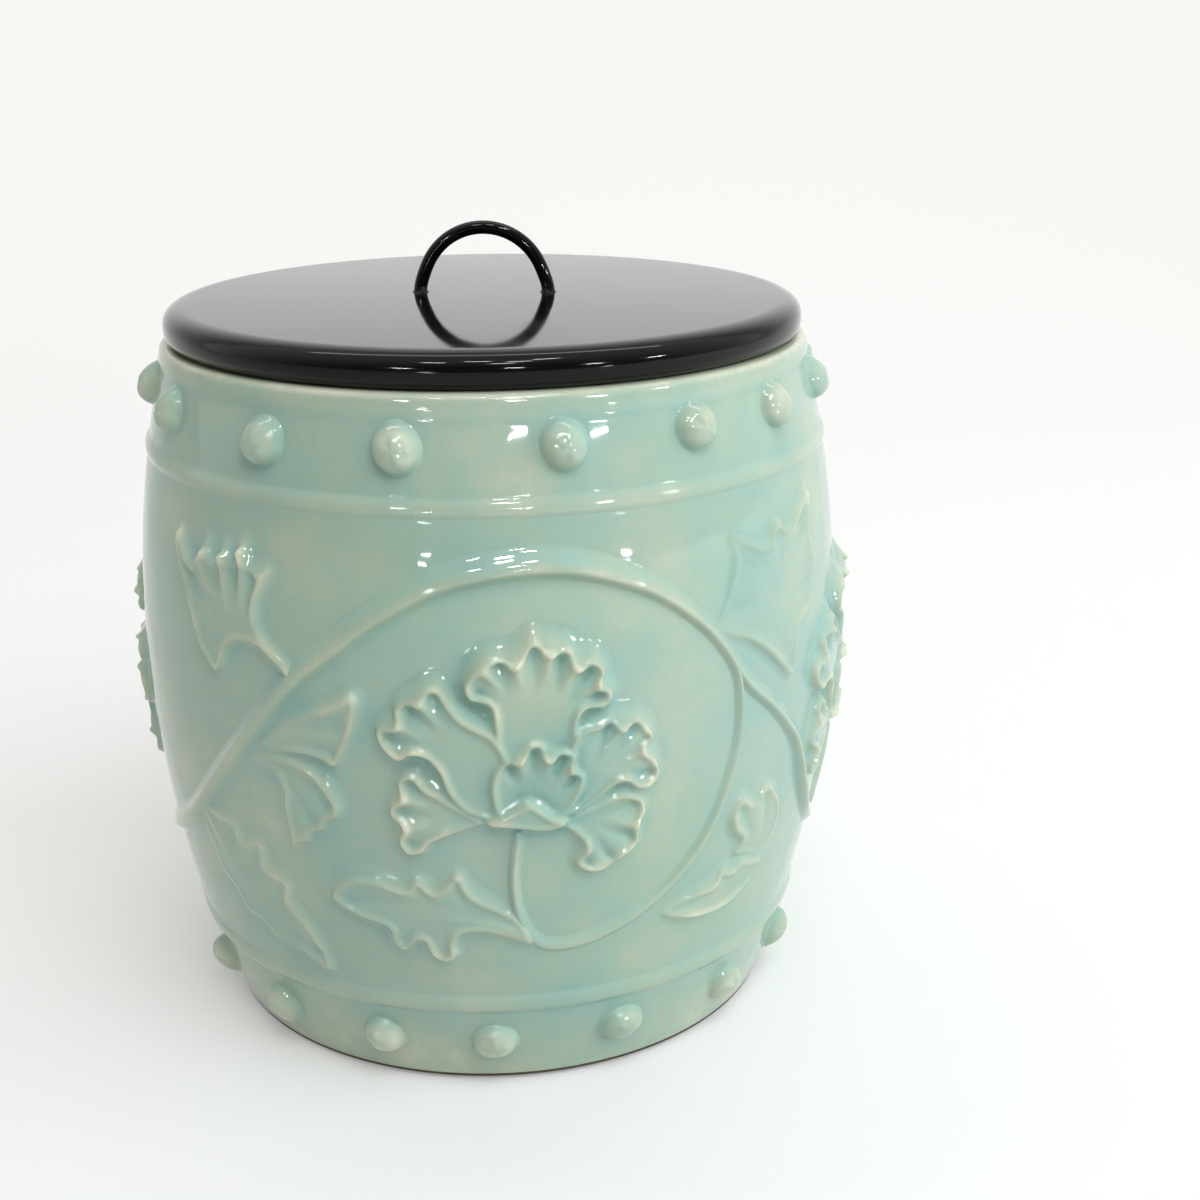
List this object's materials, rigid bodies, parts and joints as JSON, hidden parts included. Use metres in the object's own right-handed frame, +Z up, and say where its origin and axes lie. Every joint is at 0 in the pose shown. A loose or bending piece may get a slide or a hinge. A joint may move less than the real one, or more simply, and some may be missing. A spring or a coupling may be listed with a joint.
{
  "type": "lidded water jar",
  "caption": "Barrel-shaped celadon water jar for the tea ceremony, with a peony scroll in relief, rows of domed studs and a lift-off black lacquer lid with a half-ring handle.",
  "frame": {"origin": "middle of the foot ring, on the plane that the jar stands on", "axes": "+Z up along the jar's axis, -Y towards the framed peony at the front, +X to the right of it, six degrees off the line of the ring handle"},
  "size_m": [0.1806, 0.1806, 0.1909],
  "materials": {
    "celadon": "gloss",
    "black_lacquer": "gloss"
  },
  "bodies": {
    "jar": {"jar_body": "celadon", "upper_studs": "celadon", "lower_studs": "celadon", "peony_front": "celadon", "peony_right": "celadon", "peony_back": "celadon", "peony_left": "celadon", "scroll_front": "celadon", "scroll_back": "celadon", "leaves_front": "celadon", "leaves_back": "celadon"},
    "lid": {"lid_board": "black_lacquer", "ring_handle": "black_lacquer"}
  },
  "joints": [
    {"name": "lid_lift", "type": "slide", "parent": "jar", "child": "lid", "axis": [0, 0, 1], "range_m": [0, 0.12]}
  ]
}
